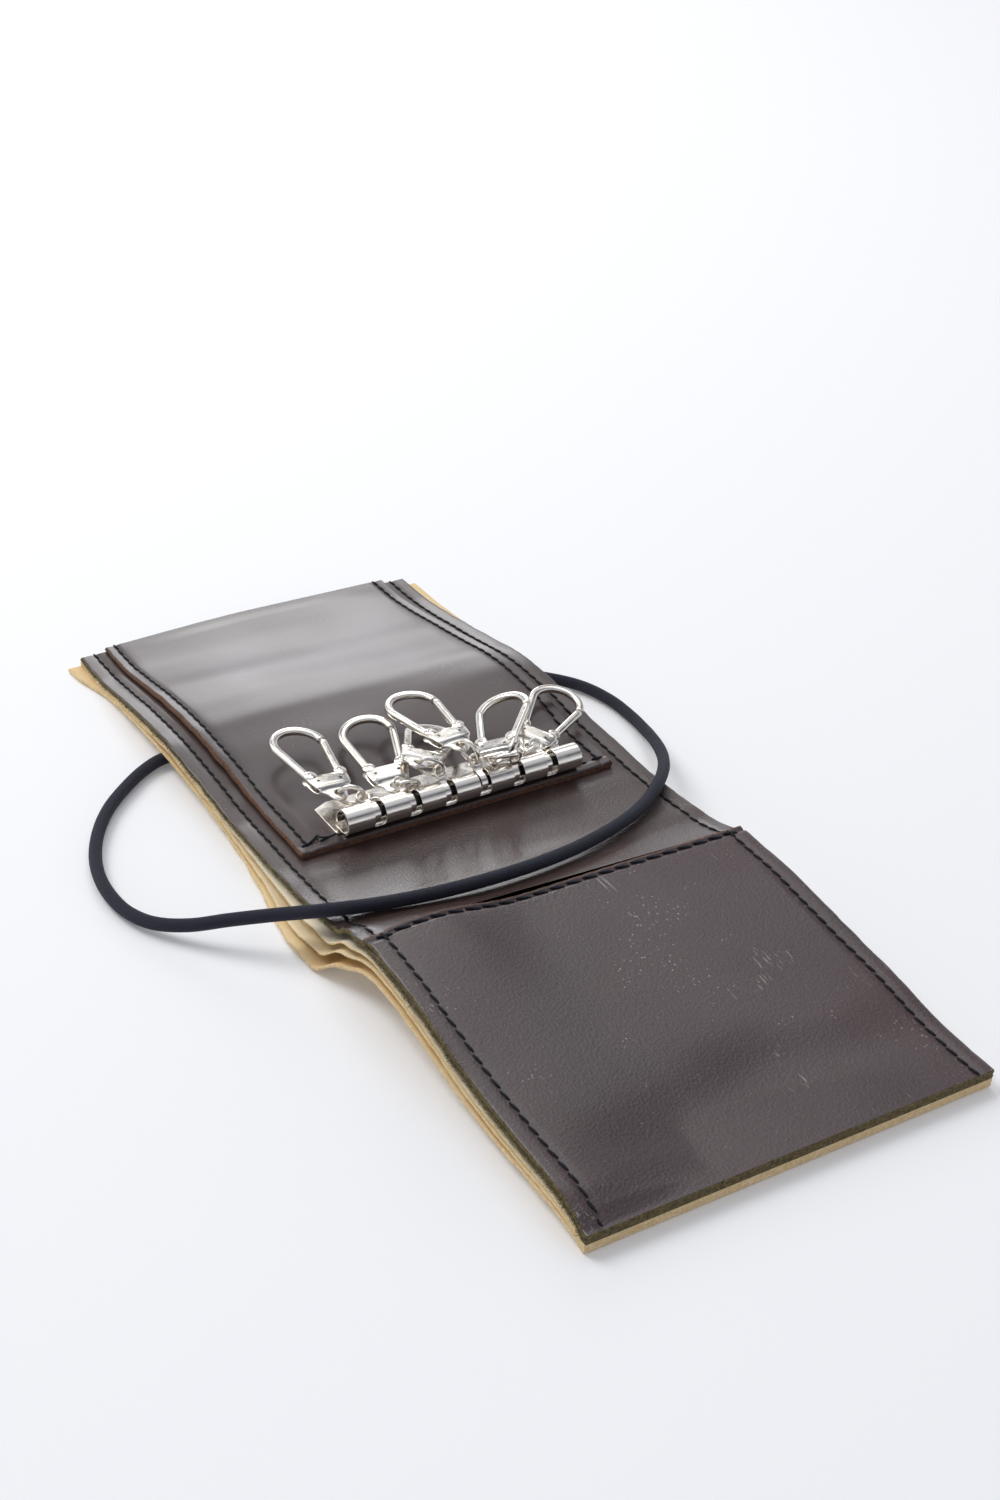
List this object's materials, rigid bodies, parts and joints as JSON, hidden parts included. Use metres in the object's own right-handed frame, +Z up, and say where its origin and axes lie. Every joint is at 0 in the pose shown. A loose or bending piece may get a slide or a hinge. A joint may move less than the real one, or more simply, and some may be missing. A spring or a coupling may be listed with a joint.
{
  "type": "leather key case",
  "caption": "Open leather key case: a folding strip with a slip pocket, a metal bar with snap hooks on rings, and an elastic loop that holds it shut.",
  "frame": {"origin": "on the table, under the middle of the open strip", "axes": "X across the strip, +Y along the strip from the pocket end to the end under the key panel, +Z up from the table"},
  "size_m": [0.145, 0.229, 0.0206],
  "materials": {
    "natural_cover": "undyed, matt",
    "natural_layer": "undyed, matt",
    "natural_split": "undyed split, matt",
    "brown_lining": "glazed, satin",
    "brown_panel": "glazed, satin, burnished edges",
    "brown_pocket": "glazed, satin",
    "thread": "waxed thread",
    "elastic": "braided over rubber",
    "clip_steel": "plain",
    "nickel_bar": "bright nickel plate",
    "steel": "plain",
    "nickel_rivet": "bright nickel plate",
    "nickel_ring": "bright nickel plate",
    "nickel_link": "bright nickel plate",
    "nickel_hook": "bright nickel plate"
  },
  "bodies": {
    "back_panel": {"cover_back": "natural_cover", "interlining_back": "natural_layer", "backing_back": "natural_split", "lining_back": "brown_lining", "key_panel": "brown_panel", "bar_plate": "nickel_bar", "bar_rod": "steel", "bar_rivets": "nickel_rivet", "rivet_washers": "steel", "elastic_loop": "elastic", "elastic_clip": "clip_steel", "thread_back": "thread"},
    "spine": {"cover_spine": "natural_cover", "interlining_spine": "natural_layer", "backing_spine": "natural_split", "lining_spine": "brown_lining", "thread_spine": "thread"},
    "front_flap": {"cover_front": "natural_cover", "interlining_front": "natural_layer", "backing_front": "natural_split", "lining_front": "brown_lining", "slip_pocket": "brown_pocket", "thread_front": "thread"},
    "link_1": {"link_1": "nickel_link"},
    "ring_1": {"ring_1": "nickel_ring"},
    "hook_1": {"hook_1": "nickel_hook", "gate_pin_1": "nickel_rivet", "gate_spring_1": "steel"},
    "gate_1": {"gate_1": "nickel_hook"},
    "link_2": {"link_2": "nickel_link"},
    "ring_2": {"ring_2": "nickel_ring"},
    "hook_2": {"hook_2": "nickel_hook", "gate_pin_2": "nickel_rivet", "gate_spring_2": "steel"},
    "gate_2": {"gate_2": "nickel_hook"},
    "link_3": {"link_3": "nickel_link"},
    "ring_3": {"ring_3": "nickel_ring"},
    "hook_3": {"hook_3": "nickel_hook", "gate_pin_3": "nickel_rivet", "gate_spring_3": "steel"},
    "gate_3": {"gate_3": "nickel_hook"},
    "link_4": {"link_4": "nickel_link"},
    "ring_4": {"ring_4": "nickel_ring"},
    "hook_4": {"hook_4": "nickel_hook", "gate_pin_4": "nickel_rivet", "gate_spring_4": "steel"},
    "gate_4": {"gate_4": "nickel_hook"},
    "link_5": {"link_5": "nickel_link"},
    "ring_5": {"ring_5": "nickel_ring"},
    "hook_5": {"hook_5": "nickel_hook", "gate_pin_5": "nickel_rivet", "gate_spring_5": "steel"},
    "gate_5": {"gate_5": "nickel_hook"},
    "link_6": {"link_6": "nickel_link"},
    "ring_6": {"ring_6": "nickel_ring"},
    "hook_6": {"hook_6": "nickel_hook", "gate_pin_6": "nickel_rivet", "gate_spring_6": "steel"},
    "gate_6": {"gate_6": "nickel_hook"}
  },
  "joints": [
    {"name": "fold_back", "type": "hinge", "parent": "back_panel", "child": "spine", "pos_m": [0, 0, 0.00669], "axis": [1, 0, 0], "range_deg": [-90, 0], "deforming": ["elastic_loop"]},
    {"name": "fold_front", "type": "hinge", "parent": "spine", "child": "front_flap", "pos_m": [0, -0.031, 0.0117], "axis": [1, 0, 0], "range_deg": [-95, 0]},
    {"name": "link_turn_1", "type": "hinge", "parent": "back_panel", "child": "link_1", "pos_m": [-0.02185, 0.008, 0.01113], "axis": [1, 0, 0], "range_deg": [0, 110]},
    {"name": "ring_turn_1", "type": "hinge", "parent": "link_1", "child": "ring_1", "pos_m": [-0.02185, 0.01283, 0.01242], "axis": [0.1172, -0.3402, 0.933], "range_deg": [-6, 12]},
    {"name": "hook_turn_1", "type": "hinge", "parent": "ring_1", "child": "hook_1", "pos_m": [-0.02659, 0.0152, 0.01328], "axis": [-0.0674, -0.2479, 0.9664], "range_deg": [-8, 20]},
    {"name": "gate_turn_1", "type": "hinge", "parent": "hook_1", "child": "gate_1", "pos_m": [-0.02292, 0.02102, 0.01345], "axis": [0.0684, -0.071, 0.9951], "range_deg": [0, 25], "stiffness_Nm_per_rad": 0.0005, "springref_deg": -5.73, "deforming": ["gate_spring_1"]},
    {"name": "link_turn_2", "type": "hinge", "parent": "back_panel", "child": "link_2", "pos_m": [-0.013, 0.008, 0.01113], "axis": [1, 0, 0], "range_deg": [0, 110]},
    {"name": "ring_turn_2", "type": "hinge", "parent": "link_2", "child": "ring_2", "pos_m": [-0.013, 0.01224, 0.01378], "axis": [0.5219, -0.656, 0.5452], "range_deg": [-6, 0]},
    {"name": "hook_turn_2", "type": "hinge", "parent": "ring_2", "child": "hook_2", "pos_m": [-0.01331, 0.01375, 0.01224], "axis": [0.2564, 0.6121, -0.7481], "range_deg": [-10, 3]},
    {"name": "gate_turn_2", "type": "hinge", "parent": "hook_2", "child": "gate_2", "pos_m": [-0.00871, 0.01878, 0.01319], "axis": [-0.1369, -0.06, 0.9888], "range_deg": [0, 25], "stiffness_Nm_per_rad": 0.0005, "springref_deg": -5.73, "deforming": ["gate_spring_2"]},
    {"name": "link_turn_3", "type": "hinge", "parent": "back_panel", "child": "link_3", "pos_m": [-0.00405, 0.008, 0.01113], "axis": [1, 0, 0], "range_deg": [0, 110]},
    {"name": "ring_turn_3", "type": "hinge", "parent": "link_3", "child": "ring_3", "pos_m": [-0.00405, 0.01003, 0.0157], "axis": [0.3064, -0.5805, 0.7544], "range_deg": [-4, 0.5]},
    {"name": "hook_turn_3", "type": "hinge", "parent": "ring_3", "child": "hook_3", "pos_m": [-0.00832, 0.01243, 0.01754], "axis": [-0.102, -0.3507, 0.9309], "range_deg": [-0.5, 1]},
    {"name": "gate_turn_3", "type": "hinge", "parent": "hook_3", "child": "gate_3", "pos_m": [-0.00189, 0.01438, 0.016], "axis": [0.1918, 0.1369, 0.9718], "range_deg": [0, 25], "stiffness_Nm_per_rad": 0.0005, "springref_deg": -5.73, "deforming": ["gate_spring_3"]},
    {"name": "link_turn_4", "type": "hinge", "parent": "back_panel", "child": "link_4", "pos_m": [0.0056, 0.008, 0.01113], "axis": [1, 0, 0], "range_deg": [0, 110]},
    {"name": "ring_turn_4", "type": "hinge", "parent": "link_4", "child": "ring_4", "pos_m": [0.0056, 0.01087, 0.01523], "axis": [0.125, -0.8682, 0.4803], "range_deg": [-10, 0]},
    {"name": "hook_turn_4", "type": "hinge", "parent": "ring_4", "child": "hook_4", "pos_m": [0.00402, 0.01461, 0.01754], "axis": [-0.2137, -0.0676, 0.9746], "range_deg": [-15, 0]},
    {"name": "gate_turn_4", "type": "hinge", "parent": "hook_4", "child": "gate_4", "pos_m": [0.00736, 0.02063, 0.01743], "axis": [-0.0006, 0.0174, 0.9998], "range_deg": [0, 25], "stiffness_Nm_per_rad": 0.0005, "springref_deg": -5.73, "deforming": ["gate_spring_4"]},
    {"name": "link_turn_5", "type": "hinge", "parent": "back_panel", "child": "link_5", "pos_m": [0.014, 0.008, 0.01113], "axis": [1, 0, 0], "range_deg": [0, 80]},
    {"name": "ring_turn_5", "type": "hinge", "parent": "link_5", "child": "ring_5", "pos_m": [0.014, 0.00722, 0.01607], "axis": [0.1162, -0.7626, 0.6364], "range_deg": [-8, 1]},
    {"name": "hook_turn_5", "type": "hinge", "parent": "ring_5", "child": "hook_5", "pos_m": [0.00963, 0.00901, 0.01547], "axis": [-0.7529, -0.4066, 0.5175], "range_deg": [0, 10]},
    {"name": "gate_turn_5", "type": "hinge", "parent": "hook_5", "child": "gate_5", "pos_m": [0.01579, 0.01156, 0.01721], "axis": [-0.3389, 0.189, 0.9216], "range_deg": [0, 25], "stiffness_Nm_per_rad": 0.0005, "springref_deg": -5.73, "deforming": ["gate_spring_5"]},
    {"name": "link_turn_6", "type": "hinge", "parent": "back_panel", "child": "link_6", "pos_m": [0.023, 0.008, 0.01113], "axis": [1, 0, 0], "range_deg": [0, 80]},
    {"name": "ring_turn_6", "type": "hinge", "parent": "link_6", "child": "ring_6", "pos_m": [0.023, 0.01229, 0.01371], "axis": [-0.4153, -0.7905, 0.4502], "range_deg": [-10, 2]},
    {"name": "hook_turn_6", "type": "hinge", "parent": "ring_6", "child": "hook_6", "pos_m": [0.02271, 0.01448, 0.01193], "axis": [-0.5897, 0.5245, -0.6141], "range_deg": [-8, 8]},
    {"name": "gate_turn_6", "type": "hinge", "parent": "hook_6", "child": "gate_6", "pos_m": [0.02954, 0.0153, 0.01167], "axis": [0.0586, -0.1742, 0.983], "range_deg": [0, 25], "stiffness_Nm_per_rad": 0.0005, "springref_deg": -5.73, "deforming": ["gate_spring_6"]}
  ],
  "couplings": [
    {"joint": "link_turn_3", "follows": "link_turn_2", "ratio": 1},
    {"joint": "link_turn_4", "follows": "link_turn_2", "ratio": 1},
    {"joint": "link_turn_5", "follows": "link_turn_6", "ratio": 1}
  ]
}
